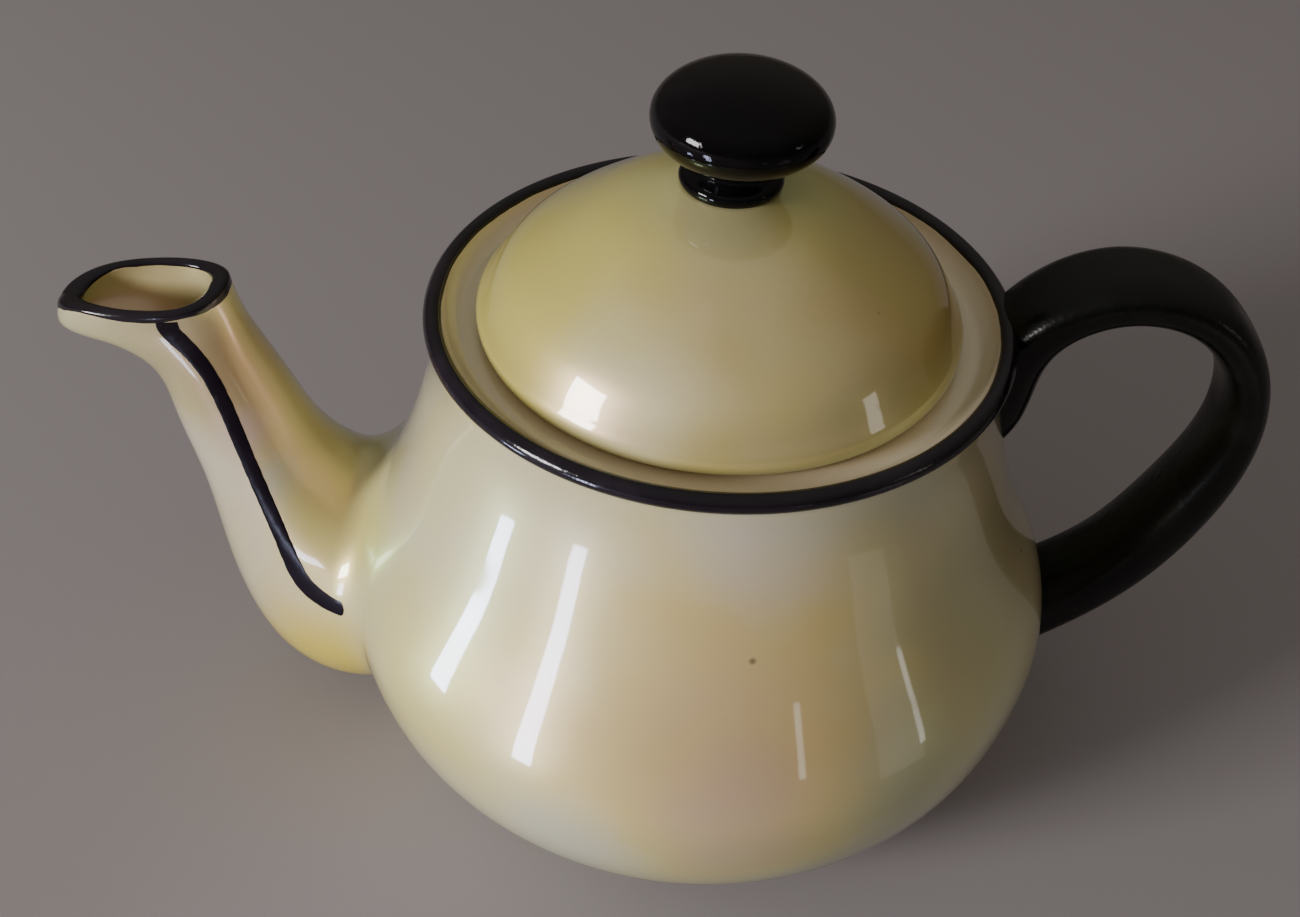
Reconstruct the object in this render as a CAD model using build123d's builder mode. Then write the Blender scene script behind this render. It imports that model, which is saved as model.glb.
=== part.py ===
from build123d import *
import os

# Glazed earthenware teapot: a hollow pot with a rolled rim and a sunk lid seat, a hollow
# S-shaped spout over a pierced strainer, an ear-shaped strap handle, and a lift-off domed
# lid with a round knob. Millimetres, +Z up, spout towards -X, handle towards +X.
# The origin is the centre of the foot ring's resting plane, on the axis of the pot.

# ---------------------------------------------------------------- driving dimensions
wall = 3.8                     # thickness of the cast pot and lid

foot_radius = 47.0             # foot ring that the pot stands on
foot_inner_radius = 42.0
foot_height = 3.0
base_recess = 2.0              # the base is sunk this far inside the foot ring

belly_radius = 69.8
belly_height = 35.0            # height of the widest line
neck_radius = 51.0
neck_height = 92.0

rim_radius = 52.0              # outside of the rolled rim
rim_height = 98.0              # mid height of the rolled rim
rim_half_height = 1.6

seat_radius = 45.6             # ledge that the lid rests on
seat_height = 95.0
throat_radius = 39.0           # opening through the ledge
throat_depth = 4.5

lid_radius = 42.6
lid_edge_rise = 2.6            # the lid's widest line above its seat
lid_foot_radius = 40.8         # outer edge of the face that rests on the seat
flange_radius = 38.2           # locating flange, with a loose fit in the throat
flange_depth = 11.0
flange_wall = 3.6

knob_seat_height = 122.4       # top of the dome, where the knob stands
knob_foot_radius = 8.6
knob_neck_radius = 6.6
knob_radius = 14.8
knob_half_height = 8.1
knob_centre_height = 134.6

strainer_radius = 2.1          # holes through the pot's wall behind the spout
strainer_pitch = 8.0
strainer_height = 30.0

spout_wall = 3.0
lip_wall = 1.9
mouth_tilt = 8.0               # the mouth slopes down towards its beak

strap_rounding = 0.85          # corner radius of the handle's section / its half thickness

# Spout stations from the pot outwards: (distance from the axis, height, lean of the
# centreline above horizontal, half height across the section, half width)
spout_stations = [
    (56.0, 26.7, 4, 22.4, 22.0),
    (66.6, 27.3, 17, 24.0, 23.5),
    (74.2, 31.3, 27, 24.5, 22.6),
    (79.8, 38.8, 38, 20.8, 19.2),
    (83.5, 48.9, 53, 15.9, 15.6),
    (86.4, 59.3, 67, 12.8, 12.6),
    (89.9, 71.8, 75, 11.0, 10.8),
    (93.5, 82.7, 77, 10.8, 10.0),
    (97.4, 89.3, 76, 12.8, 9.9),
    (102.5, 94.3, 90 - mouth_tilt, 16.2, 9.8),
]

# Handle centreline over its loop, and its section there: (x, z, half thickness, half width)
handle_stations = [
    (52.4, 74.2, 2.4, 5.9),
    (52.2, 80.5, 4.8, 8.1),
    (51.9, 88.5, 6.1, 8.5),
    (56.1, 99.0, 5.1, 8.8),
    (67.5, 106.0, 4.6, 8.9),
    (82.8, 103.4, 4.1, 8.6),
    (94.0, 90.9, 4.0, 8.4),
    (96.5, 74.7, 4.5, 8.3),
    (91.8, 57.1, 5.6, 8.6),
    (82.5, 40.1, 6.1, 8.8),
    (71.0, 29.0, 7.0, 9.2),
    (60.0, 21.3, 8.2, 9.6),
]

os.makedirs("parts", exist_ok=True)


def outer_outline():
    """Draws the outside of the pot, from inside the foot ring to the top of the rolled rim."""
    under_base = Line((0, base_recess), (foot_inner_radius, base_recess))
    ring_inside = Line(under_base @ 1, (foot_inner_radius + 0.6, 0))
    ring_sole = Line(ring_inside @ 1, (foot_radius - 0.8, 0))
    ring_outside = Line(ring_sole @ 1, (foot_radius, foot_height))
    belly = Spline(
        ring_outside @ 1,
        (belly_radius - 6.8, foot_height + 9.5),
        (belly_radius, belly_height),
        tangents=((1, 0.05), (0, 1)),
        tangent_scalars=(0.9, 1.0),
    )
    shoulder = Spline(
        belly @ 1,
        (belly_radius - 8.5, belly_height + 21.5),
        (belly_radius - 15.2, belly_height + 39),
        (neck_radius, neck_height),
        tangents=((0, 1), (0, 1)),
    )
    under_rim = Line(shoulder @ 1, (neck_radius + 0.1, rim_height - rim_half_height))
    bead = ThreePointArc(
        under_rim @ 1,
        (rim_radius, rim_height),
        (rim_radius - 1.1, rim_height + rim_half_height - 0.3),
    )
    return bead @ 1


# pot_body: foot, belly, neck, rolled rim, sloping gallery, lid seat and throat, cast in one
with BuildPart() as pot_body:
    with BuildSketch(Plane.YZ):
        with BuildLine():
            rim_top = outer_outline()
            rim_fall = Spline(
                rim_top,
                (rim_radius - 2.0, rim_height + rim_half_height),
                (rim_radius - 2.8, rim_height + 1.2),
                tangents=((-1, 0.6), (-0.5, -1)),
            )
            gallery = Spline(
                rim_fall @ 1,
                (seat_radius + 1.2, seat_height + 0.7),
                (seat_radius - 0.6, seat_height),
                tangents=((-0.6, -1), (-1, 0)),
            )
            seat = Line(gallery @ 1, (throat_radius + 0.8, seat_height))
            seat_edge = Line(seat @ 1, (throat_radius, seat_height - 0.8))
            throat = Line(seat_edge @ 1, (throat_radius, seat_height - throat_depth))
            under_ledge = Spline(
                throat @ 1,
                (neck_radius - wall - 2.2, seat_height - throat_depth - 3.2),
                (neck_radius - wall + 0.6, seat_height - throat_depth - 10),
                tangents=((1, -0.2), (0.1, -1)),
            )
            inner_shoulder = Spline(
                under_ledge @ 1,
                (belly_radius - 8.5 - wall, belly_height + 21),
                (belly_radius - wall, belly_height),
                tangents=((0.1, -1), (0, -1)),
            )
            inner_belly = Spline(
                inner_shoulder @ 1,
                (belly_radius - 7.2 - wall, foot_height + 12.5),
                (foot_radius - 6, base_recess + wall + 0.8),
                tangents=((0, -1), (-1, -0.08)),
            )
            well = Line(inner_belly @ 1, (0, base_recess + wall))
            Line(well @ 1, (0, base_recess))
        make_face()
    revolve(axis=Axis.Z)
    with BuildSketch(Plane.YZ.offset(-belly_radius - 5)):
        with Locations((0, strainer_height)):
            Circle(strainer_radius)
            with PolarLocations(strainer_pitch, 6):
                Circle(strainer_radius)
    extrude(amount=40, mode=Mode.SUBTRACT)

# the space that the pot takes up, from its axis out, kept clear by the spout and the handle
with BuildPart() as pot_space:
    with BuildSketch(Plane.YZ):
        with BuildLine():
            bead_top = outer_outline()
            clear_side = Line(bead_top, (rim_radius - 1.1, rim_height + 30))
            clear_top = Line(clear_side @ 1, (0, rim_height + 30))
            Line(clear_top @ 1, (0, base_recess))
        make_face()
    revolve(axis=Axis.Z)


def spout_plane(station):
    """Plane across the spout at a station: its x axis runs across the pot, along Y."""
    heading = Vector(-1, 0, 0).rotate(Axis.Y, station[2])
    return Plane(origin=(-station[0], 0, station[1]), x_dir=(0, 1, 0), z_dir=heading)


# spout: hollow S-curve, broad where it meets the belly, with an oval mouth drawn into a beak
with BuildPart() as spout:
    with BuildLine() as spout_centre:
        Spline([(-station[0], 0, station[1]) for station in spout_stations])
    for station in spout_stations:
        with BuildSketch(spout_plane(station)):
            Ellipse(station[4], station[3])
    sweep(path=spout_centre.line, multisection=True)
    for station in spout_stations:
        thickness = lip_wall if station is spout_stations[-1] else spout_wall
        with BuildSketch(spout_plane(station)):
            Ellipse(station[4] - thickness, station[3] - thickness)
    sweep(path=spout_centre.line, multisection=True, mode=Mode.SUBTRACT)
    add(pot_space.part, mode=Mode.SUBTRACT)

# handle: flat oval strap in an ear shape, thickened where it joins the neck and the belly
with BuildPart() as handle:
    with BuildLine():
        strap = Spline([(station[0], 0, station[1]) for station in handle_stations])
    for station in handle_stations:
        here = strap.param_at_point((station[0], 0, station[1]))
        with BuildSketch(Plane(origin=strap @ here, x_dir=(0, 1, 0), z_dir=strap % here)):
            RectangleRounded(2 * station[3], 2 * station[2], strap_rounding * station[2])
    loft()
    add(pot_space.part, mode=Mode.SUBTRACT)

# lid: domed shell with a rounded edge and a locating flange underneath
with BuildPart() as lid:
    with BuildSketch(Plane.XZ):
        with BuildLine():
            sole = Line((flange_radius, seat_height), (lid_foot_radius, seat_height))
            edge = Spline(
                sole @ 1,
                (lid_radius, seat_height + lid_edge_rise),
                (lid_radius - 1.3, seat_height + 5.6),
                tangents=((0.9, 0.3), (-0.45, 1)),
            )
            dome = Spline(
                edge @ 1,
                (lid_radius - 4.2, seat_height + 10.5),
                (lid_radius - 12, seat_height + 17.5),
                (lid_radius - 24, seat_height + 24.4),
                (knob_foot_radius, knob_seat_height),
                tangents=((-0.45, 1), (-1, 0.45)),
            )
            crown = Line(dome @ 1, (0, knob_seat_height))
            axis_line = Line(crown @ 1, (0, knob_seat_height - wall - 1))
            inner_dome = Spline(
                axis_line @ 1,
                (lid_radius - 25, seat_height + 24.0 - wall),
                (lid_radius - 15, seat_height + 16.2 - wall),
                (flange_radius - flange_wall, seat_height + 3),
                tangents=((1, 0), (0.15, -1)),
            )
            flange_inside = Line(inner_dome @ 1, (flange_radius - flange_wall, seat_height - flange_depth))
            flange_end = Line(flange_inside @ 1, (flange_radius - 0.8, seat_height - flange_depth))
            flange_chamfer = Line(flange_end @ 1, (flange_radius, seat_height - flange_depth + 0.8))
            Line(flange_chamfer @ 1, sole @ 0)
        make_face()
    revolve(axis=Axis.Z)

# knob: flattened ball on a short waisted foot
with BuildPart() as knob:
    with BuildSketch(Plane.XZ):
        with BuildLine():
            stand = Line((0, knob_seat_height), (knob_foot_radius - 0.4, knob_seat_height))
            foot_roll = ThreePointArc(
                stand @ 1,
                (knob_foot_radius, knob_seat_height + 1.5),
                (knob_foot_radius - 0.9, knob_seat_height + 2.9),
            )
            waist = Spline(
                foot_roll @ 1,
                (knob_neck_radius, knob_seat_height + 4.4),
                (knob_radius * 0.74, knob_centre_height - knob_half_height * 0.67),
                tangents=((-1, 0.5), (0.85, 0.5)),
            )
            underside = Bezier(
                waist @ 1,
                (knob_radius * 0.9, knob_centre_height - knob_half_height * 0.5),
                (knob_radius, knob_centre_height - knob_half_height * 0.28),
                (knob_radius, knob_centre_height),
            )
            ball = Bezier(
                underside @ 1,
                (knob_radius, knob_centre_height + knob_half_height * 0.55),
                (knob_radius * 0.55, knob_centre_height + knob_half_height),
                (0, knob_centre_height + knob_half_height),
            )
            Line(ball @ 1, (0, knob_seat_height))
        make_face()
    revolve(axis=Axis.Z)

for piece, name in (
    (pot_body, "pot_body"),
    (spout, "spout"),
    (handle, "handle"),
    (lid, "lid"),
    (knob, "knob"),
):
    piece.part.label = name
    export_step(piece.part, f"parts/{name}.step")
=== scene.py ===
import math

import bmesh
import bpy
import numpy as np
from mathutils import Matrix, Vector, noise
from mathutils.bvhtree import BVHTree


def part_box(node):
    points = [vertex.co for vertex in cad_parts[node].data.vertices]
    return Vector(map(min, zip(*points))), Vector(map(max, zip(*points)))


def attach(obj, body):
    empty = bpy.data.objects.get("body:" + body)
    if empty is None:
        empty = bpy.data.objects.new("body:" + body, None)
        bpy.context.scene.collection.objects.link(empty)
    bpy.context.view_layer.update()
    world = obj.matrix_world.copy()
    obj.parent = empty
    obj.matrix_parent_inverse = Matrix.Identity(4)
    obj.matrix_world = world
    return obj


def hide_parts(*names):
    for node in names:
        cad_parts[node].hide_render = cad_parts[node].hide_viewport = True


# Looks of a pearl-lustre teapot. Sizes are in millimetres in the frame of the CAD part:
# +Z up, spout towards -X, handle towards +X, origin under the middle of the foot ring.
# Each visible piece is a fine mesh that stands for one CAD node, or a painted enamel line
# that lies on one. The meshes start as grids: rows along the piece, columns round it.

MM = 0.001

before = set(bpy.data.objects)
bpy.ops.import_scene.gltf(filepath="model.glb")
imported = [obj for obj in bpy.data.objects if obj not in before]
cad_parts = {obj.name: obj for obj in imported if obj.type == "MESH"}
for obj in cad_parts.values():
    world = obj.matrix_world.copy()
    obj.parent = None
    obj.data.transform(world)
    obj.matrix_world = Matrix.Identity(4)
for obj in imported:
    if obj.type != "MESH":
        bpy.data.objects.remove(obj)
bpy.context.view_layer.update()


def cad_size(node, axis, side):
    """Coordinate of one side of a CAD node's box, in mm: axis 0 to 2, side 0 low or 1 high."""
    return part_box(node)[side][axis] / MM


# ------------------------------------------------------------------------------ sizes
belly_radius = cad_size("pot_body", 0, 1)
rim_top = cad_size("pot_body", 2, 1)
lid_radius = cad_size("lid", 0, 1)
lid_top = cad_size("lid", 2, 1)
knob_radius = cad_size("knob", 0, 1)
knob_top = cad_size("knob", 2, 1)

wall = 3.8
foot_radius = 47.0
foot_height = 3.0
base_recess = 2.0
belly_height = 35.0
neck_radius = 51.0
neck_height = 92.0
rim_radius = 52.0
rim_height = rim_top - 1.6
seat_height = 95.0
seat_radius = rim_radius - 7.0
throat_radius = 39.0
throat_depth = 4.5
flange_radius = 38.2
flange_depth = 11.0
flange_wall = 3.6
flange_round = 1.2
lip_wall = 1.9
spout_wall = 3.0
enamel = 0.13                  # how far a painted line stands above the glaze

# The handmade pot's rim and lid sit a little low at the back left, and its knob leans
sag_turn = math.radians(128)
rim_sag = 1.1
lid_sag = 1.5
knob_lean = (0.9, 0, -0.4)


# --------------------------------------------------------------------- curves and grids
def share(value, low, high):
    """How far a value is from low to high, kept between 0 and 1."""
    return min(max((value - low) / (high - low), 0), 1)


def unit(vectors):
    """Vectors along the last axis, each at length 1."""
    return vectors / np.linalg.norm(vectors, axis=-1, keepdims=True)


def run_along(points):
    """Length along each line of points, from 0; the points follow each other on axis 0."""
    steps = np.linalg.norm(np.diff(points, axis=0), axis=-1)
    return np.concatenate([np.zeros((1, *steps.shape[1:])), np.cumsum(steps, axis=0)])


def cubic(u, start, start_slope, end, end_slope):
    """Smooth way from start at u = 0 to end at u = 1, with the given slopes there."""
    return (
        (2 * u**3 - 3 * u**2 + 1) * start
        + (u**3 - 2 * u**2 + u) * start_slope
        + (3 * u**2 - 2 * u**3) * end
        + (u**3 - u**2) * end_slope
    )


class Curve:
    """Smooth curve through points, over their chord length, from t = 0 to t = 1."""

    def __init__(self, points, start=None, end=None):
        self.p = np.array(points, float)
        self.s = run_along(self.p)
        n = len(self.p)
        h = np.diff(self.s)
        rise = np.diff(self.p, axis=0) / h[:, None]
        a = np.zeros((n, n))
        b = np.zeros_like(self.p)
        for i in range(1, n - 1):
            a[i, i - 1 : i + 2] = h[i], 2 * (h[i - 1] + h[i]), h[i - 1]
            b[i] = 3 * (rise[i - 1] * h[i] + rise[i] * h[i - 1])
        for i, j, slope, given in ((0, 1, rise[0], start), (-1, -2, rise[-1], end)):
            a[i, i] = 2 if given is None else 1
            a[i, j] = 1 if given is None else 0
            b[i] = 3 * slope if given is None else unit(np.array(given))
        self.m = np.linalg.solve(a, b)

    def at(self, t):
        """Points at one or more shares t of the curve."""
        s = np.asarray(t, float) * self.s[-1]
        i = np.clip(np.searchsorted(self.s, s, side="right") - 1, 0, len(self.s) - 2)
        h = (self.s[i + 1] - self.s[i])[..., None]
        u = (s - self.s[i])[..., None] / h
        return cubic(u, self.p[i], h * self.m[i], self.p[i + 1], h * self.m[i + 1])

    def even(self, count):
        """Evenly spaced points from end to end."""
        return self.at(np.linspace(0, 1, count))


def straight(a, b, count=8):
    """Straight stretch of an outline."""
    return np.linspace(a, b, count)


def arc(centre, radius, start, stop, count=16):
    """Round stretch of a (radius, height) outline, in degrees from the outward direction."""
    turn = np.radians(np.linspace(start, stop, count))
    return np.array(centre) + radius * np.c_[np.cos(turn), np.sin(turn)]


def joined(*stretches):
    """One outline from stretches that follow each other, without the doubled points."""
    outline = [np.array(stretches[0][0])]
    for stretch in stretches:
        for point in stretch:
            if np.linalg.norm(point - outline[-1]) > 0.01:
                outline.append(np.array(point))
    return np.array(outline)


def cell_faces(rows, columns):
    """Quads of a grid whose columns close up into a ring."""
    for i in range(rows - 1):
        above, below = i * columns, (i + 1) * columns
        for j in range(columns):
            k = (j + 1) % columns
            yield (above + j, above + k, below + k, below + j)


def new_object(name, points, faces, materials):
    """Smooth-shaded mesh object from points in mm."""
    mesh = bpy.data.meshes.new(name)
    mesh.from_pydata([tuple(p * MM) for p in points], [], list(faces))
    mesh.validate()
    mesh.polygons.foreach_set("use_smooth", [True] * len(mesh.polygons))
    for material in materials:
        mesh.materials.append(material)
    obj = bpy.data.objects.new(name, mesh)
    bpy.context.scene.collection.objects.link(obj)
    return obj


def ring_object(name, grid, materials, cap_start=False, cap_end=False):
    """Tube from a grid (rows, columns, 3), closed round its columns, its ends capped to a point."""
    rows, columns = grid.shape[:2]
    points = list(grid.reshape(-1, 3))
    faces = list(cell_faces(rows, columns))
    for wanted, row in ((cap_start, 0), (cap_end, rows - 1)):
        if wanted:
            tip = len(points)
            points.append(grid[row].mean(axis=0))
            for j in range(columns):
                faces.append((row * columns + j, row * columns + (j + 1) % columns, tip))
    obj = new_object(name, points, faces, materials)
    outward(obj)
    return obj


def outward(obj):
    """Turns every face of a mesh to its outer side."""
    shell = bmesh.new()
    shell.from_mesh(obj.data)
    bmesh.ops.recalc_face_normals(shell, faces=shell.faces)
    shell.to_mesh(obj.data)
    shell.free()


def turned(name, outline, materials, columns=288):
    """Solid turned about the pot's axis from an outline of (radius, height) points.

    The outline's two ends lie on the axis, where caps close the rings."""
    ring = outline[1:-1]
    turn = np.linspace(0, 2 * math.pi, columns, endpoint=False)
    grid = np.stack(
        [
            ring[:, 0, None] * np.cos(turn),
            ring[:, 0, None] * np.sin(turn),
            np.repeat(ring[:, 1, None], columns, axis=1),
        ],
        axis=-1,
    )
    return ring_object(name, grid, materials, cap_start=True, cap_end=True)


def grid_normals(grid):
    """Unit normals of a grid whose columns close up, pointing away from the row's middle."""
    along = np.gradient(grid, axis=0)
    around = np.roll(grid, -1, axis=1) - np.roll(grid, 1, axis=1)
    normal = unit(np.cross(along, around))
    out = grid - grid.mean(axis=1, keepdims=True)
    flip = np.sign((normal * out).sum(axis=2).mean())
    return normal * flip


def sample(grid, row, column):
    """Point of a grid (rows, closed columns, n) at a fractional row and column."""
    rows, columns = grid.shape[:2]
    i = int(np.clip(math.floor(row), 0, rows - 2))
    j = math.floor(column)
    u, v = row - i, column - j
    a, b = grid[i], grid[i + 1]
    j, k = j % columns, (j + 1) % columns
    return (a[j] * (1 - v) + a[k] * v) * (1 - u) + (b[j] * (1 - v) + b[k] * v) * u


def hand(seed, turn, size=1.0):
    """Smooth unevenness of a hand-painted edge, about -1 to 1, round a closed turn."""
    place = Vector((size * math.cos(turn), size * math.sin(turn), seed))
    return 1.6 * noise.noise(place * 2.3) + 0.5 * noise.noise(place * 7.1)


# ---------------------------------------------------------------------------- materials
def node_material(name):
    """New node material, with its tree and its surface shader."""
    material = bpy.data.materials.new(name)
    material.use_nodes = True
    tree = material.node_tree
    shader = tree.nodes["Principled BSDF"]
    return material, tree, shader


def add_node(tree, kind, **values):
    """New node: capitalised keywords with underscores set sockets, the others set properties."""
    node = tree.nodes.new(kind)
    for key, value in values.items():
        if key[0].isupper():
            node.inputs[key.replace("_", " ")].default_value = value
        else:
            setattr(node, key, value)
    return node


def patches(tree, coords, scale, seed, low, high, detail=2.0):
    """Soft patches from 0 to 1 over the object, from noise between two thresholds."""
    mapping = add_node(tree, "ShaderNodeMapping")
    mapping.inputs["Location"].default_value = (seed, seed * 0.37, -seed)
    field = add_node(tree, "ShaderNodeTexNoise", Scale=scale, Detail=detail, Roughness=0.5)
    ramp = add_node(tree, "ShaderNodeMapRange", From_Min=low, From_Max=high)
    ramp.interpolation_type = "SMOOTHSTEP"
    tree.links.new(coords, mapping.inputs["Vector"])
    tree.links.new(mapping.outputs["Vector"], field.inputs["Vector"])
    tree.links.new(field.outputs["Fac"], ramp.inputs["Value"])
    return ramp.outputs["Result"]


def mixed(tree, factor, a, b):
    """Colour a where factor is 0 and b where it is 1; each is a colour or a socket."""
    mix = add_node(tree, "ShaderNodeMix", data_type="RGBA")
    tree.links.new(factor, mix.inputs["Factor"])
    for socket, colour in ((mix.inputs[6], a), (mix.inputs[7], b)):
        if isinstance(colour, tuple):
            socket.default_value = (*colour, 1)
        else:
            tree.links.new(colour, socket)
    return mix.outputs[2]


def scaled(tree, socket, factor):
    """Socket times a number."""
    times = add_node(tree, "ShaderNodeMath", operation="MULTIPLY")
    tree.links.new(socket, times.inputs[0])
    times.inputs[1].default_value = factor
    return times.outputs[0]


def falloff(tree, distance, near, far):
    """Node that gives 1 where a distance is under near and 0 where it is over far (mm)."""
    fade = add_node(tree, "ShaderNodeMapRange", To_Min=1.0, To_Max=0.0)
    fade.inputs["From Min"].default_value = near * MM
    fade.inputs["From Max"].default_value = far * MM
    tree.links.new(distance, fade.inputs["Value"])
    return fade


def blot(tree, coords, centre, radius):
    """Soft round patch, from 1 at its centre (mm) to 0 at its radius, with a drifting edge.

    Noise shifts each point by 0 to 0.8 radius, so the centre is moved by the mean shift."""
    drift_reach = 0.8 * radius
    drift = add_node(tree, "ShaderNodeTexNoise", Scale=45.0, Detail=2.0)
    shift = add_node(tree, "ShaderNodeVectorMath", operation="SCALE", Scale=drift_reach * MM)
    moved = add_node(tree, "ShaderNodeVectorMath", operation="ADD")
    gap = add_node(tree, "ShaderNodeVectorMath", operation="DISTANCE")
    gap.inputs[1].default_value = [(c + drift_reach / 2) * MM for c in centre]
    tree.links.new(coords, drift.inputs["Vector"])
    tree.links.new(drift.outputs["Color"], shift.inputs[0])
    tree.links.new(coords, moved.inputs[0])
    tree.links.new(shift.outputs["Vector"], moved.inputs[1])
    tree.links.new(moved.outputs["Vector"], gap.inputs[0])
    fade = falloff(tree, gap.outputs["Value"], radius * 0.25, radius * 1.1)
    fade.interpolation_type = "SMOOTHSTEP"
    return fade.outputs["Result"]


def specks(tree, coords, places, colour, speck):
    """Iron specks of about 1 mm burnt into the glaze at given points (mm)."""
    for x, y, z, radius in places:
        gap = add_node(tree, "ShaderNodeVectorMath", operation="DISTANCE")
        gap.inputs[1].default_value = (x * MM, y * MM, z * MM)
        tree.links.new(coords, gap.inputs[0])
        fade = falloff(tree, gap.outputs["Value"], radius * 0.5, radius * 1.3)
        colour = mixed(tree, scaled(tree, fade.outputs["Result"], 0.97), colour, speck)
    return colour


def gallery_mask(tree, coords):
    """1 on the sunk seat inside the rim, 0 everywhere else."""
    split = add_node(tree, "ShaderNodeSeparateXYZ")
    flat = add_node(tree, "ShaderNodeVectorMath", operation="MULTIPLY")
    flat.inputs[1].default_value = (1, 1, 0)
    reach = add_node(tree, "ShaderNodeVectorMath", operation="LENGTH")
    high = add_node(tree, "ShaderNodeMapRange")
    high.inputs["From Min"].default_value = (seat_height - 1.0) * MM
    high.inputs["From Max"].default_value = (seat_height - 0.4) * MM
    both = add_node(tree, "ShaderNodeMath", operation="MULTIPLY")
    tree.links.new(coords, split.inputs[0])
    tree.links.new(coords, flat.inputs[0])
    tree.links.new(flat.outputs["Vector"], reach.inputs[0])
    tree.links.new(split.outputs["Z"], high.inputs["Value"])
    inner = falloff(tree, reach.outputs["Value"], rim_radius - 2.2, rim_radius - 1.6)
    tree.links.new(high.outputs["Result"], both.inputs[0])
    tree.links.new(inner.outputs["Result"], both.inputs[1])
    return both.outputs[0]


def lustre_glaze(name, base, tints, blots, marks, gallery_tone_and_light=None):
    """Cream glaze under a pearl film: tinted clouds and blots, specks, a clear glossy coat.

    tints: colour, noise scale and strength of each cloud. blots: centre (mm), radius (mm),
    colour and strength; some blots are painted light or painted shade. marks: place and
    radius (mm) of each speck. The gallery tone is a pinker seat colour, made lighter as
    painted light where the lid shades the seat."""
    material, tree, shader = node_material(name)
    coords = add_node(tree, "ShaderNodeTexCoord").outputs["Object"]
    colour = base
    for seed, (tint, scale, strength) in enumerate(tints):
        cloud = patches(tree, coords, scale, 3.1 * seed + 1.7, 0.44, 0.66)
        colour = mixed(tree, scaled(tree, cloud, strength), colour, tint)
    for centre, radius, tint, strength in blots:
        patch = blot(tree, coords, centre, radius)
        colour = mixed(tree, scaled(tree, patch, strength), colour, tint)
    # Painted light: the seat inside the rim takes a lighter, pinker tone that lifts it out of the lid's
    # shade.
    if gallery_tone_and_light:
        colour = mixed(tree, gallery_mask(tree, coords), colour, gallery_tone_and_light)
    grain = patches(tree, coords, 900, 9.3, 0.3, 0.8)
    colour = mixed(tree, scaled(tree, grain, 0.07), colour, tuple(c * 0.75 for c in base))
    colour = specks(tree, coords, marks, colour, (0.05, 0.025, 0.012))
    tree.links.new(colour, shader.inputs["Base Color"])
    shader.inputs["Roughness"].default_value = 0.36
    shader.inputs["Metallic"].default_value = 0.08
    shader.inputs["IOR"].default_value = 1.5
    shader.inputs["Specular IOR Level"].default_value = 0.35
    shader.inputs["Coat Weight"].default_value = 1.0
    shader.inputs["Coat Roughness"].default_value = 0.05
    shader.inputs["Coat IOR"].default_value = 1.6
    shader.inputs["Thin Film Thickness"].default_value = 420.0
    shader.inputs["Thin Film IOR"].default_value = 1.8
    ripple = add_node(tree, "ShaderNodeTexNoise", Scale=70.0, Detail=2.0)
    bump = add_node(tree, "ShaderNodeBump", Strength=0.05, Distance=0.0006)
    tree.links.new(coords, ripple.inputs["Vector"])
    tree.links.new(ripple.outputs["Fac"], bump.inputs["Height"])
    tree.links.new(bump.outputs["Normal"], shader.inputs["Normal"])
    tree.links.new(bump.outputs["Normal"], shader.inputs["Coat Normal"])
    return material


def black_enamel(name, tone, roughness, worn, shine=0.5):
    """Black enamel, glossy where new and dull in worn patches."""
    material, tree, shader = node_material(name)
    coords = add_node(tree, "ShaderNodeTexCoord").outputs["Object"]
    wear = patches(tree, coords, 60, 2.4, 0.45, 0.7, detail=5.0)
    fine = patches(tree, coords, 700, 5.2, 0.35, 0.75, detail=3.0)
    colour = mixed(tree, scaled(tree, wear, 0.6), tone, tuple(c * 2.2 + 0.004 for c in tone))
    tree.links.new(colour, shader.inputs["Base Color"])
    spread = add_node(tree, "ShaderNodeMapRange", To_Min=roughness, To_Max=roughness + worn)
    tree.links.new(wear, spread.inputs["Value"])
    tree.links.new(spread.outputs["Result"], shader.inputs["Roughness"])
    shader.inputs["IOR"].default_value = 1.52
    shader.inputs["Specular IOR Level"].default_value = shine
    bump = add_node(tree, "ShaderNodeBump", Strength=0.04 + worn * 0.3, Distance=0.0003)
    tree.links.new(fine, bump.inputs["Height"])
    tree.links.new(bump.outputs["Normal"], shader.inputs["Normal"])
    return material


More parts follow.
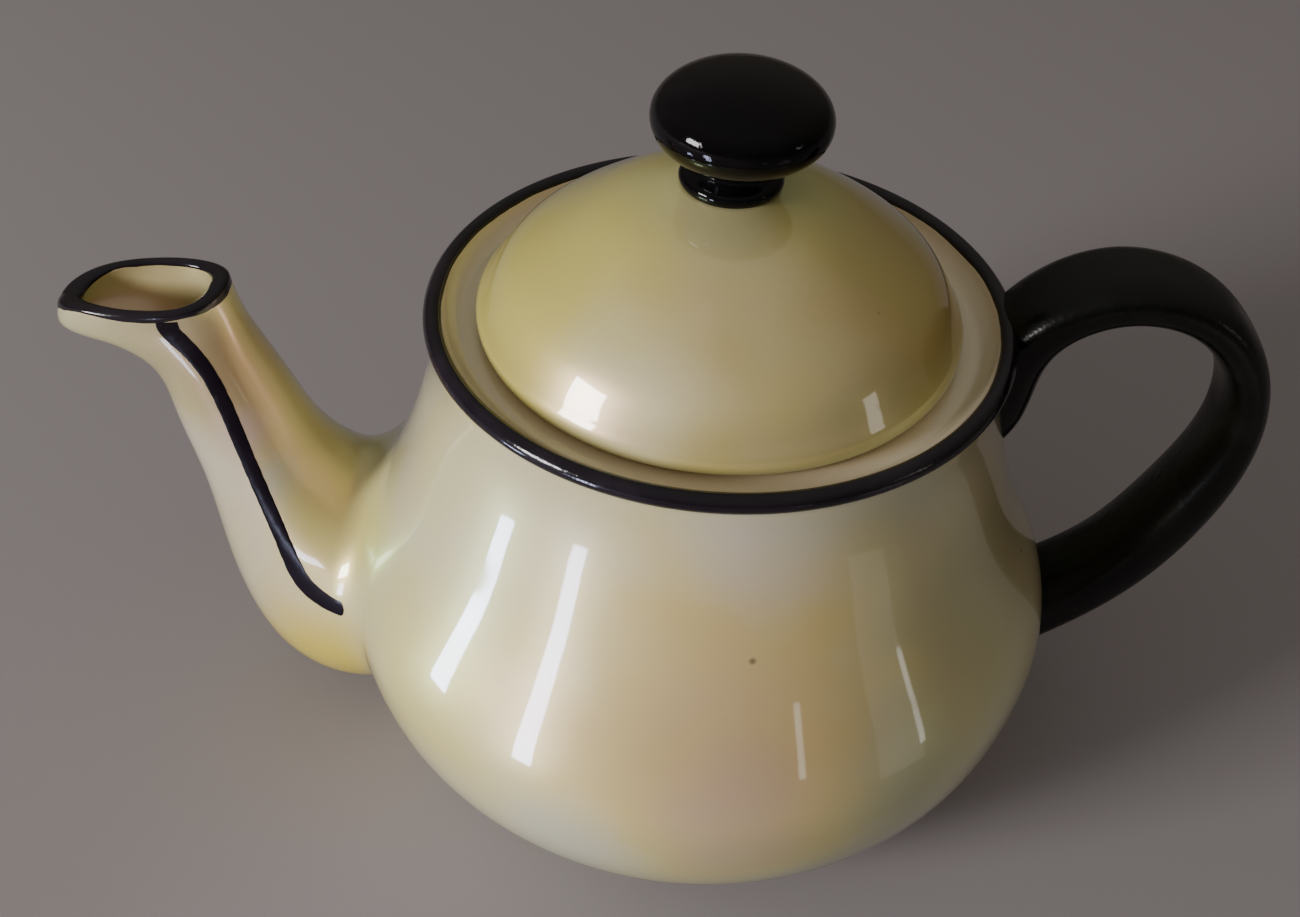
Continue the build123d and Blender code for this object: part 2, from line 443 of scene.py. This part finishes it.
body_glaze = lustre_glaze(
    "body_glaze",
    (0.75, 0.65, 0.34),
    (
        ((0.76, 0.58, 0.42), 17, 0.45),
        ((0.72, 0.64, 0.32), 21, 0.45),
        ((0.66, 0.62, 0.58), 26, 0.35),
    ),
    (
        ((3, -62, 56), 44, (0.80, 0.61, 0.11), 0.85),
        ((3, -62, 54), 32, (0.70, 0.50, 0.27), 0.75),
        ((8, -68, 40), 18, (0.62, 0.43, 0.33), 0.55),
        ((-50, -46, 44), 28, (0.70, 0.58, 0.17), 0.8),
        ((-22, -66, 27), 17, (0.64, 0.64, 0.54), 0.5),
        ((34, -56, 44), 17, (0.42, 0.45, 0.36), 0.45),
        ((10, -50, 89), 18, (0.72, 0.65, 0.60), 0.5),
        ((50, -36, 60), 32, (0.53, 0.42, 0.22), 0.7),
        ((-30, 60, 50), 30, (0.74, 0.56, 0.34), 0.6),
        ((30, 60, 40), 26, (0.62, 0.64, 0.50), 0.45),
        ((-82, -2, 80), 24, (0.45, 0.33, 0.16), 0.85),
        ((-78, 0, 63), 18, (0.46, 0.39, 0.17), 0.85),
        ((-86, -9, 70), 6, (0.64, 0.46, 0.42), 0.55),
        ((-79, -12, 60), 6, (0.50, 0.56, 0.42), 0.5),
        ((-70, -14, 50), 15, (0.68, 0.60, 0.14), 0.8),
        ((-104, -8, 60), 18, (0.82, 0.68, 0.56), 0.6),
        ((-74, -22, 18), 26, (0.82, 0.60, 0.06), 0.9),
        # Painted shade: dark brown inside the spout's mouth.
        ((-98, 0, 86), 9, (0.42, 0.32, 0.19), 0.8),
    ),
    ((7.5, -55.5, 68.2, 0.7), (60.3, -14.8, 55.5, 0.5), (-24, 62, 40, 0.4)),
    # Painted light on the seat inside the rim: lighter than the glaze against the lid's shade, and
    # pinker.
    gallery_tone_and_light=(0.88, 0.75, 0.58),
)
lid_glaze = lustre_glaze(
    "lid_glaze",
    (0.71, 0.61, 0.18),
    (
        ((0.66, 0.50, 0.22), 20, 0.4),
        ((0.74, 0.70, 0.44), 26, 0.4),
    ),
    (
        ((-32, -12, 106), 28, (0.76, 0.65, 0.15), 0.75),
        ((32, -8, 110), 28, (0.64, 0.43, 0.11), 0.8),
        # Painted shade: darker patch on the middle front of the dome.
        ((-4, -26, 112), 14, (0.62, 0.52, 0.20), 0.5),
        # Painted highlight: pale patch low on the dome's front left, for the window's light there.
        ((-16, -36, 104), 20, (0.90, 0.84, 0.48), 0.8),
        # Painted sheen: pale patch on the dome just in front of the knob's foot.
        ((0, -10, 122), 11, (0.72, 0.66, 0.38), 0.5),
        ((41, 0, 101), 12, (0.62, 0.32, 0.08), 0.7),
        ((0, 34, 106), 24, (0.66, 0.50, 0.20), 0.6),
    ),
    ((24.5, -20, 112.4, 0.5), (17.5, -13, 117.3, 0.4)),
)
band_enamel = black_enamel("band_enamel", (0.010, 0.007, 0.011), 0.12, 0.10, 0.4)
stripe_enamel = black_enamel("stripe_enamel", (0.008, 0.005, 0.009), 0.20, 0.10, 0.15)
knob_enamel = black_enamel("knob_enamel", (0.002, 0.0015, 0.002), 0.05, 0.05, 0.2)
handle_enamel = black_enamel("handle_enamel", (0.002, 0.0023, 0.0017), 0.24, 0.20, 0.27)


# ------------------------------------------------------------------------------ the pot
belly = Curve(
    [
        (foot_radius, foot_height),
        (belly_radius - 6.8, foot_height + 9.5),
        (belly_radius, belly_height),
    ],
    start=(1, 0.05),
    end=(0, 1),
)
shoulder = Curve(
    [
        (belly_radius, belly_height),
        (belly_radius - 8.5, belly_height + 21.5),
        (belly_radius - 15.2, belly_height + 39),
        (neck_radius, neck_height),
    ],
    start=(0, 1),
    end=(0, 1),
)
bead = Curve(
    [
        (neck_radius + 0.1, rim_height - 1.9),
        (rim_radius - 0.25, rim_height - 0.9),
        (rim_radius, rim_height),
        (rim_radius - 0.45, rim_height + 1.0),
        (rim_radius - 1.5, rim_top),
        (rim_radius - 2.5, rim_top - 0.35),
        (rim_radius - 3.3, rim_top - 1.5),
    ],
    start=(0.25, 1),
    end=(-0.5, -1),
)
gallery = Curve(
    [
        (rim_radius - 3.3, rim_top - 1.5),
        (rim_radius - 5.1, seat_height + 0.9),
        (seat_radius, seat_height),
    ],
    start=(-0.5, -1),
    end=(-1, 0),
)
outside = joined(
    straight((foot_radius, 1.0), (foot_radius, foot_height)),
    belly.even(60),
    shoulder.even(70),
    straight((neck_radius, neck_height), (neck_radius + 0.1, rim_height - 1.9), 6),
)
inner_shoulder = Curve(
    [
        (throat_radius, seat_height - throat_depth),
        (neck_radius - wall - 2.2, seat_height - 7.7),
        (neck_radius - wall + 0.6, seat_height - 14.5),
        (belly_radius - 8.5 - wall, belly_height + 21),
        (belly_radius - wall, belly_height),
        (belly_radius - 7.2 - wall, foot_height + 12.5),
        (foot_radius - 6, base_recess + wall + 0.8),
        (foot_radius - 16, base_recess + wall),
    ],
    start=(1, -0.2),
    end=(-1, 0),
)
seat_round = 0.9               # the edge between the seat and the throat
pot_outline = joined(
    [(0, base_recess)],
    straight((6, base_recess), (foot_radius - 6.2, base_recess), 6),
    arc((foot_radius - 4.0, 1.2), 1.2, 180, 270, 6),
    straight((foot_radius - 3.4, 0), (foot_radius - 1.0, 0), 4),
    arc((foot_radius - 1.0, 1.0), 1.0, 270, 360, 8),
    outside,
    bead.even(40),
    gallery.even(20),
    straight((seat_radius, seat_height), (throat_radius + seat_round, seat_height), 6),
    arc((throat_radius + seat_round, seat_height - seat_round), seat_round, 90, 180, 8),
    straight((throat_radius, seat_height - seat_round), (throat_radius, seat_height - throat_depth), 5),
    inner_shoulder.even(110),
    straight((foot_radius - 16, base_recess + wall), (6, base_recess + wall), 6),
    [(0, base_recess + wall)],
)


def skin(across):
    """Height of a painted band above the glaze, over its width: its edges dip just under."""
    return enamel * np.clip(np.sin(np.linspace(0, math.pi, across)) * 2.6, 0, 1) - 0.03


def pot_radius(height):
    """Outside radius of the pot at a height."""
    return np.interp(height, outside[:, 1], outside[:, 0])


pot = turned("pot_body_glazed", pot_outline, [body_glaze])


def low_side(x, y):
    """1 at the side where the rim and the lid sit low, falling to 0 opposite."""
    return (0.5 + 0.5 * math.cos(math.atan2(y, x) - sag_turn)) ** 1.5


def settle_rim(obj):
    """Lets the rim sag and draw in a little, as hand-finished clay does.

    Both grow from height 80 to 94 mm, and from radius 44 to 49 mm."""
    for vertex in obj.data.vertices:
        x, y, z = vertex.co / MM
        sag = share(z, 80, 94) * share(math.hypot(x, y), 44, 49) * low_side(x, y)
        drawn_in = 1 - 0.012 * sag
        vertex.co = Vector((x * drawn_in, y * drawn_in, z - rim_sag * sag)) * MM


def strainer(pot):
    """Seven holes through the wall behind the spout."""
    height, pitch, radius, sides = 30.0, 8.0, 2.1, 24
    places = [(0, height)]
    for step in range(6):
        turn = math.radians(60 * step)
        places.append((pitch * math.cos(turn), height + pitch * math.sin(turn)))
    turns = np.linspace(0, 2 * math.pi, sides, endpoint=False)
    points, faces = [], []
    for y, z in places:
        for x in (-belly_radius - 3, -belly_radius + 12):
            first = len(points)
            for a in turns:
                points.append(np.array((x, y + radius * math.cos(a), z + radius * math.sin(a))))
            faces.append(tuple(range(first, first + sides)))
        for j in range(sides):
            k = (j + 1) % sides
            faces.append((first - sides + j, first - sides + k, first + k, first + j))
    cutter = new_object("strainer_cutter", points, faces, [])
    outward(cutter)
    cut = pot.modifiers.new("strainer", "BOOLEAN")
    cut.operation = "DIFFERENCE"
    cut.solver = "EXACT"
    cut.object = cutter
    graph = bpy.context.evaluated_depsgraph_get()
    pierced = bpy.data.meshes.new_from_object(pot.evaluated_get(graph))
    pot.modifiers.clear()
    pot.data = pierced
    bpy.data.objects.remove(cutter)


strainer(pot)
settle_rim(pot)
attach(pot, "pot")
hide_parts("pot_body")


def rim_paint():
    """Black band over the rolled rim, its two edges painted by hand."""
    path = joined(outside[-3:], bead.even(60))
    run = run_along(path)
    slope = unit(np.gradient(path, axis=0))
    normal = np.c_[slope[:, 1], -slope[:, 0]]
    columns, across = 360, 26
    lift = skin(across)
    lower_edge = rim_height - 1.75
    begin = run[np.argmax(path[:, 1] >= lower_edge)]
    grid = np.zeros((across, columns, 3))
    for j in range(columns):
        turn = 2 * math.pi * j / columns
        first = begin + 0.16 * hand(1.3, turn, 3.0)
        last = run[-1] - 0.25 + 0.14 * hand(4.1, turn, 3.0)
        s = np.linspace(first, last, across)
        r = np.interp(s, run, path[:, 0]) + lift * np.interp(s, run, normal[:, 0])
        z = np.interp(s, run, path[:, 1]) + lift * np.interp(s, run, normal[:, 1])
        grid[:, j] = np.c_[r * math.cos(turn), r * math.sin(turn), z]
    return ring_object("rim_band", grid, [band_enamel])


rim_band = rim_paint()
settle_rim(rim_band)
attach(rim_band, "pot")


# ------------------------------------------------------------------------------ spout
# From the mouth to the root: upper edge x and z, lower edge x and z, half width, and
# squareness, the exponent of the section's rounded outline, which is 2 for an ellipse
spout_sections = np.array(
    [
        (-86.9, 96.1, -117.6, 91.2, 9.0, 2.2),
        (-86.4, 94.3, -118.4, 87.0, 8.8, 2.2),
        (-85.7, 91.4, -113.8, 85.3, 8.9, 2.1),
        (-83.7, 84.8, -103.9, 80.7, 9.5, 2.0),
        (-79.3, 74.3, -100.6, 69.7, 10.7, 2.05),
        (-75.0, 63.5, -97.6, 55.1, 12.8, 2.1),
        (-71.0, 57.3, -95.6, 39.7, 15.6, 2.2),
        (-67.3, 53.4, -92.2, 25.0, 18.8, 2.35),
        (-63.8, 51.2, -84.9, 13.3, 22.3, 2.45),
        (-60.3, 49.3, -73.9, 8.2, 24.6, 2.5),
        (-55.7, 48.8, -58.7, 7.8, 24.1, 2.5),
    ]
)
spout_columns = 128
mouth_egg = 0.13               # how much broader than an ellipse the mouth is at its back
mouth_reach = 0.2              # share of the spout over which the mouth's shape fades out
lip_rows = 12                  # rows round the lip's edge, between outside and bore
spout_turns = np.linspace(0, 2 * math.pi, spout_columns, endpoint=False)


def power(value, exponent):
    """Power of the size of a value, with the value's sign."""
    return np.sign(value) * np.abs(value) ** exponent


def spout_tube(t, inset):
    """Rings of the spout at t (0 mouth, 1 root), drawn in by inset from the outside.

    The mouth is egg-shaped, broad at the back, and its lip dips at the beak and the back."""
    section = Curve(spout_sections).at(t)
    upper, lower = section[:, 0:2], section[:, 2:4]
    middle = (upper + lower) / 2
    half = (upper - lower) / 2
    height = np.linalg.norm(half, axis=1)
    rise = unit(half)
    near_mouth = np.clip(1 - np.asarray(t, float) / mouth_reach, 0, 1)[:, None] ** 1.5
    thick_ends = inset * near_mouth[:, 0]
    middle = middle + 0.3 * thick_ends[:, None] * rise
    tall = (height - inset - thick_ends)[:, None]
    wide = (section[:, 4] - inset)[:, None]
    shape = (2 / section[:, 5])[:, None]
    back, side = np.cos(spout_turns), np.sin(spout_turns)
    up = tall * power(back, shape)
    across = wide * power(side, shape) * (1 + mouth_egg * near_mouth * back)
    lift = near_mouth * np.abs(side) ** 1.2 * (0.26 - 1.79 * back)
    x = middle[:, 0, None] + rise[:, 0, None] * up
    z = middle[:, 1, None] + rise[:, 1, None] * up + lift
    return np.stack([x, -across, z], axis=-1)


def clearance(points):
    """Distance outside the pot's wall, measured level."""
    return np.hypot(points[..., 0], points[..., 1]) - pot_radius(points[..., 2])


def on_pot(point, sunk=0.0):
    """The point moved level on to the pot's wall."""
    radius = pot_radius(point[2]) - sunk
    return np.array((*(unit(point[:2]) * radius), point[2]))


def pot_normal(point):
    """Unit normal of the pot's wall at a point on it."""
    step = 0.5
    slope = (pot_radius(point[2] + step) - pot_radius(point[2] - step)) / (2 * step)
    return unit(np.array((*unit(point[:2]), -slope)))


def along_wall(direction, point):
    """Direction turned to run along the pot's wall at a point on it."""
    normal = pot_normal(point)
    return unit(direction - direction.dot(normal) * normal)


def blended(tube, reach, rows_out, rows_blend, sunk=0.02):
    """Rows of a tube that runs into the pot, ending in a fillet that lies on the pot's wall.

    reach is the size of the fillet for each column, and tube has many rows. A column leaves
    the tube where the wall is near, and follows a cubic curve that lands flat on the wall."""
    rows = len(tube)
    gap = clearance(tube)
    grid = np.zeros((rows_out + rows_blend, tube.shape[1], 3))
    for j in range(tube.shape[1]):
        hit = int(np.argmax(gap[:, j] < 0))
        start = int(np.argmax(gap[:, j] < reach[j] * 0.9))
        at = np.linspace(0, start, rows_out)
        grid[:rows_out, j] = [
            tube[int(a), j] * (1 - a % 1) + tube[min(int(a) + 1, rows - 1), j] * (a % 1) for a in at
        ]
        begin = tube[start, j]
        heading = unit(tube[start, j] - tube[start - 1, j])
        touch = on_pot(tube[hit, j])
        away = along_wall(tube[hit, j] - tube[hit].mean(axis=0), touch)
        land = on_pot(touch + away * reach[j], sunk)
        away = along_wall(away, land)
        pull = np.linalg.norm(land - begin) * 1.15
        u = np.linspace(0, 1, rows_blend + 1)[1:, None]
        grid[rows_out:, j] = cubic(u, begin, heading * pull, land, away * pull)
    return grid


def pushed_in(tube):
    """The tube with its root carried on level into the pot, so that every column meets the wall."""
    reach = 14.0
    steps = np.linspace(0, reach, 100)[1:, None, None] * np.array((1, 0, 0))
    return np.concatenate([tube, tube[-1] + steps])


def bore(rows):
    """Rows down the inside of the spout, each column ending just inside the pot's wall."""
    sunk = 1.0
    depth = np.linspace(0, 1, 400)
    inset = lip_wall + (spout_wall - lip_wall) * np.clip(depth * 6, 0, 1)
    tube = pushed_in(spout_tube(depth, inset))
    gap = clearance(tube)
    grid = np.zeros((rows, spout_columns, 3))
    for j in range(spout_columns):
        last = np.argmax(gap[:, j] < -sunk)
        places = np.linspace(0, 1, rows) ** 1.2 * last
        for axis in range(3):
            grid[:, j, axis] = np.interp(places, np.arange(len(tube)), tube[:, j, axis])
    return grid


def spout_grid():
    """Rows from the root's fillet up the outside, over the lip and down the inside.

    Also returns the number of the lip's first row."""
    tube = pushed_in(spout_tube(np.linspace(0, 1, 700), 0))
    reach = 6.0 + 1.5 * np.cos(spout_turns)
    shell = blended(tube, reach, rows_out=110, rows_blend=26)[::-1]
    mouth = spout_tube(np.array([0.0, 0.004]), 0)
    heading = unit(mouth[0].mean(axis=0) - mouth[1].mean(axis=0))
    lip = []
    half = lip_wall / 2
    for turn in np.linspace(0, math.pi, lip_rows + 2)[1:-1]:
        ring = spout_tube(np.array([0.0]), half * (1 - math.cos(turn)))[0]
        lip.append(ring + heading * half * math.sin(turn))
    return np.concatenate([shell, np.array(lip), bore(rows=90)]), len(shell)


spout_rows, lip_row = spout_grid()
spout = ring_object("spout_glazed", spout_rows, [body_glaze])
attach(spout, "pot")
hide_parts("spout")


def lip_paint():
    """Black band round the spout's mouth, broader at the beak and at the back."""
    normals = grid_normals(spout_rows)
    across = 22
    lift = skin(across)
    run = run_along(spout_rows)
    grid = np.zeros((across, spout_columns, 3))
    top = lip_row + lip_rows // 2
    for j, turn in enumerate(spout_turns):
        ends = abs(math.cos(turn)) ** 3
        beak = max(-math.cos(turn), 0) ** 6
        middle = run[top, j]
        low = middle - (2.4 + 0.9 * ends + 1.5 * beak + 0.2 * hand(2.2, turn, 1.2))
        high = middle + (1.4 + 1.3 * ends + 0.15 * hand(6.2, turn, 1.2))
        for i, s in enumerate(np.linspace(low, high, across)):
            row = np.interp(s, run[:, j], np.arange(len(spout_rows)))
            grid[i, j] = sample(spout_rows, row, j) + lift[i] * sample(normals, row, j)
    return ring_object("spout_lip_band", grid, [band_enamel])


lip_band = lip_paint()
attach(lip_band, "pot")


def surface_of(*objects):
    """Tree of the faces of some meshes, in mm, to find the nearest point and its normal."""
    points, faces = [], []
    for obj in objects:
        first = len(points)
        points += [v.co / MM for v in obj.data.vertices]
        faces += [[first + i for i in f.vertices] for f in obj.data.polygons]
    return BVHTree.FromPolygons(points, faces)


def painted_line(name, surface, centre, halves, across=14, raised=0.11):
    """Closed skin of enamel along a line, laid on a surface, with rounded ends."""
    centre = np.array(centre)
    along = unit(np.gradient(centre, axis=0))
    rows = []
    for point, heading, half in zip(centre, along, halves):
        _, normal, _, _ = surface.find_nearest(Vector(point))
        side = unit(np.cross(normal, heading))
        row = []
        for turn in np.linspace(0, 2 * math.pi, 2 * across, endpoint=False):
            target = point + side * half * math.cos(turn)
            place, out, _, _ = surface.find_nearest(Vector(target))
            height = raised * math.sin(turn) ** 0.8 if 0 < turn < math.pi else -0.03
            row.append(np.array(place + out * height))
        rows.append(row)
    return ring_object(name, np.array(rows), [stripe_enamel], cap_start=True, cap_end=True)


end_round = 1.6                # length over which a painted line's end is rounded
# Path of the painted line down each side of the spout: share of the way from the mouth to
# the root, turn round the side from the back in half turns, half width in mm
stripe_path = Curve(
    [
        (0.012, 0.372, 1.90),
        (0.060, 0.376, 1.75),
        (0.158, 0.391, 1.48),
        (0.231, 0.406, 1.44),
        (0.298, 0.420, 1.44),
        (0.373, 0.433, 1.46),
        (0.516, 0.440, 1.52),
        (0.654, 0.452, 1.78),
        (0.714, 0.452, 1.90),
        (0.767, 0.438, 1.80),
        (0.810, 0.422, 1.72),
        (0.840, 0.406, 1.70),
    ]
)


def stripe(name, side, surface):
    """Painted line down one side of the spout, 1 for the left and -1 for the right.

    Its lower end is rounded, and its width wavers a little."""
    count = 360
    path = stripe_path.even(count)
    tube = spout_tube(path[:, 0], 0)
    columns = path[:, 1] * spout_columns / 2
    centre = []
    for i, column in enumerate(columns):
        j = int(column)
        centre.append(tube[i, j] * (1 - column % 1) + tube[i, j + 1] * (column % 1))
    centre = np.array(centre) * (1, side, 1)
    run = run_along(centre)
    from_end = np.clip((run[-1] - run) / end_round, 0, 1)
    halves = path[:, 2] * np.sqrt(np.clip(1 - (1 - from_end) ** 2, 0.02, 1))
    halves *= [1 + 0.05 * hand(7.7 * side, s * 0.35) for s in run]
    line = painted_line(name, surface, centre, halves)
    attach(line, "pot")


pot_surface = surface_of(pot, spout)
stripe("spout_stripe_left", 1, pot_surface)
stripe("spout_stripe_right", -1, pot_surface)


# ------------------------------------------------------------------------------ handle
# From the tail on the neck round to the root on the belly:
# x, z, half thickness, half width
handle_sections = np.array(
    [
        (52.4, 74.2, 2.4, 5.9),
        (52.2, 80.5, 4.8, 8.1),
        (51.9, 88.5, 6.1, 8.5),
        (56.1, 99.0, 5.1, 8.8),
        (67.5, 106.0, 4.6, 8.9),
        (82.8, 103.4, 4.1, 8.6),
        (94.0, 90.9, 4.0, 8.4),
        (96.5, 74.7, 4.5, 8.3),
        (91.8, 57.1, 5.6, 8.6),
        (82.5, 40.1, 6.1, 8.8),
        (71.0, 29.0, 7.0, 9.2),
        (60.0, 21.3, 8.2, 9.6),
    ]
)
handle_columns = 72
handle_squareness = 2.6


def handle_grid():
    """Rows along the strap, each a rounded rectangle square to its path."""
    section = Curve(handle_sections).even(220)
    along = unit(np.gradient(section[:, :2], axis=0))
    out = np.c_[-along[:, 1], along[:, 0]]
    turns = np.linspace(0, 2 * math.pi, handle_columns, endpoint=False)
    shape = 2 / handle_squareness
    thick = section[:, 2, None] * power(np.cos(turns), shape)
    wide = section[:, 3, None] * power(np.sin(turns), shape)
    x = section[:, 0, None] + out[:, 0, None] * thick
    z = section[:, 1, None] + out[:, 1, None] * thick
    return np.stack([x, wide, z], axis=-1)


handle = ring_object(
    "handle_enamelled", handle_grid(), [handle_enamel], cap_start=True, cap_end=True
)
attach(handle, "pot")
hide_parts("handle")


# ---------------------------------------------------------------------------- lid and knob
knob_foot_radius = 8.6
knob_middle = 134.6
knob_half = knob_top - knob_middle
knob_base = lid_top - 0.2      # the knob's foot stands a little sunk in the dome
lid_edge = seat_height + 2.6   # the lid's widest line
sole = seat_height + 0.05      # the face that rests on the seat, just clear of it
crown = lid_top - wall - 1     # inside of the dome, at the middle
flange_inside = flange_radius - flange_wall
flange_end = seat_height - flange_depth
flange_turn = flange_end + flange_round

dome = Curve(
    [
        (lid_radius, lid_edge),
        (lid_radius - 1.3, seat_height + 5.6),
        (lid_radius - 4.2, seat_height + 10.5),
        (lid_radius - 12, seat_height + 17.5),
        (lid_radius - 24, seat_height + 24.4),
        (knob_foot_radius, lid_top),
    ],
    start=(0, 1),
    end=(-1, 0.3),
)
under_dome = Curve(
    [
        (6, crown),
        (lid_radius - 25, seat_height + 24.0 - wall),
        (lid_radius - 15, seat_height + 16.2 - wall),
        (flange_inside, seat_height + 3),
    ],
    start=(1, 0),
    end=(0.15, -1),
)
lid_outline = joined(
    [(0, lid_top)],
    straight((3, lid_top), (knob_foot_radius, lid_top), 4),
    dome.even(110)[::-1],
    Curve(
        [
            (lid_radius, lid_edge),
            (lid_radius - 0.6, seat_height + 0.8),
            (lid_radius - 2.2, sole),
        ],
        start=(0, -1),
        end=(-1, -0.05),
    ).even(14),
    straight((lid_radius - 2.2, sole), (flange_radius + 0.4, sole), 4),
    straight((flange_radius, seat_height - 0.4), (flange_radius, flange_turn), 8),
    arc((flange_radius - flange_round, flange_turn), flange_round, 0, -90, 8),
    arc((flange_inside + flange_round, flange_turn), flange_round, 270, 180, 8),
    straight((flange_inside, flange_turn), (flange_inside, seat_height + 3), 8),
    under_dome.even(60)[::-1],
    [(0, crown)],
)


def settle_lid(obj):
    """Lets the dome sag: more from radius 10 to 26 mm, and from height 97 to 105 mm."""
    for vertex in obj.data.vertices:
        x, y, z = vertex.co / MM
        on_dome = share(math.hypot(x, y), 10, 26) * share(z, 97, 105)
        vertex.co.z -= lid_sag * MM * on_dome * low_side(x, y)


def lean_knob(obj):
    """Moves the knob's ball off the axis, over a stem that bends to it."""
    for vertex in obj.data.vertices:
        above = share(vertex.co.z / MM, lid_top + 2, lid_top + 10)
        vertex.co += Vector(knob_lean) * MM * above


lid = turned("lid_glazed", lid_outline, [lid_glaze])
settle_lid(lid)
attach(lid, "lid")
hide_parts("lid")

ball_turn = np.radians(np.linspace(-42, 90, 60))
knob_ball = np.c_[knob_radius * np.cos(ball_turn), knob_middle + knob_half * np.sin(ball_turn)]
knob_stem = Curve(
    [
        (knob_foot_radius - 0.6, knob_base),
        (knob_foot_radius + 0.1, lid_top + 1.3),
        (knob_foot_radius - 0.9, lid_top + 2.7),
        (6.7, lid_top + 4.2),
        tuple(knob_ball[0]),
    ],
    start=(1, 0.6),
    end=(1, 0.5),
)
knob_outline = joined(
    [(0, knob_base), (3, knob_base)],
    knob_stem.even(60),
    knob_ball[:-1],
    [(0, knob_top)],
)
knob = turned("knob_enamelled", knob_outline, [knob_enamel], columns=192)
lean_knob(knob)
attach(knob, "lid")
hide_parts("knob")


# ------------------------------------------------------------------------------- studio
def floor():
    """Plain matt floor that the pot stands on."""
    reach = 9000.0
    corners = ((-reach, -reach), (reach, -reach), (reach, reach), (-reach, reach))
    material, _, shader = node_material("floor_paper")
    shader.inputs["Base Color"].default_value = (0.35, 0.32, 0.33, 1)
    shader.inputs["Roughness"].default_value = 0.95
    points = [np.array((x, y, 0.0)) for x, y in corners]
    new_object("floor", points, [(0, 1, 2, 3)], [material])


def surroundings():
    """Soft light from all round, brighter from above."""
    world = bpy.data.worlds.new("studio")
    world.use_nodes = True
    tree = world.node_tree
    background = tree.nodes["Background"]
    aim = add_node(tree, "ShaderNodeTexCoord")
    split = add_node(tree, "ShaderNodeSeparateXYZ")
    rise = add_node(tree, "ShaderNodeMapRange", From_Min=-0.1, From_Max=1.0)
    rise.interpolation_type = "SMOOTHSTEP"
    tree.links.new(aim.outputs["Generated"], split.inputs[0])
    tree.links.new(split.outputs["Z"], rise.inputs["Value"])
    sky = mixed(tree, rise.outputs["Result"], (0.070, 0.060, 0.047), (0.31, 0.29, 0.27))
    tree.links.new(sky, background.inputs["Color"])
    background.inputs["Strength"].default_value = 1.0
    bpy.context.scene.world = world


def window(name, place, aim, width, height, power_w, colour=(1, 1, 1), spread=180):
    """Rectangular light, in mm, that faces a point and doesn't show itself.

    spread is the angle in degrees that its light fans out over."""
    light = bpy.data.lights.new(name, "AREA")
    light.shape = "RECTANGLE"
    light.size = width * MM
    light.size_y = height * MM
    light.energy = power_w
    light.spread = math.radians(spread)
    light.color = colour
    obj = bpy.data.objects.new(name, light)
    obj.location = Vector(place) * MM
    obj.rotation_mode = "QUATERNION"
    obj.rotation_quaternion = (Vector(aim) - Vector(place)).to_track_quat("-Z", "Y")
    obj.visible_camera = False
    bpy.context.scene.collection.objects.link(obj)


def camera():
    """Camera of a hand-held view, close to the pot and above it."""
    place = Vector((-10.7, -200.4, 243.3))
    down = math.radians(42.45)
    roll = math.radians(3.20)
    forward = Vector((0, math.cos(down), -math.sin(down)))
    side = Vector((1, 0, 0))
    above = side.cross(forward)
    right = side * math.cos(roll) + above * math.sin(roll)
    up = above * math.cos(roll) - side * math.sin(roll)
    data = bpy.data.cameras.new("camera")
    data.sensor_width = 36
    data.lens = 38.77
    data.clip_start = 0.01
    data.clip_end = 20
    obj = bpy.data.objects.new("camera", data)
    turn = Matrix((right, up, -forward)).transposed()
    obj.matrix_world = Matrix.Translation(place * MM) @ turn.to_4x4()
    bpy.context.scene.collection.objects.link(obj)
    bpy.context.scene.camera = obj


floor()
surroundings()

# Near cards make the long reflections in the belly; the day lights do the lighting
window("window_left", (-159, -77, 38), (-38, -44, 64), 17, 24, 0.0085, (0.62, 0.68, 1.0), 64)
window("window_front", (-135, -165, 46), (-25, -54, 66), 18, 68, 0.033, (0.66, 0.71, 1.0), 84)
window("room_right", (168, -134, 30), (25, -50, 62), 46, 60, 0.0007, (1.0, 0.95, 0.88), 90)
window("glint_right", (184, -116, 28), (34, -48, 60), 6, 22, 0.0003, (1.0, 0.97, 0.90), 90)
window("glint_front", (104, -207, 49), (17, -60, 54), 7, 20, 0.0003, (1.0, 0.97, 0.90), 90)
window("day_left", (-1180, -690, 400), (0, 0, 50), 400, 290, 18.6, (1.0, 0.98, 0.97))
window("day_right", (1000, -360, 260), (0, 0, 60), 130, 120, 0.14, (1.0, 0.92, 0.84))
camera()
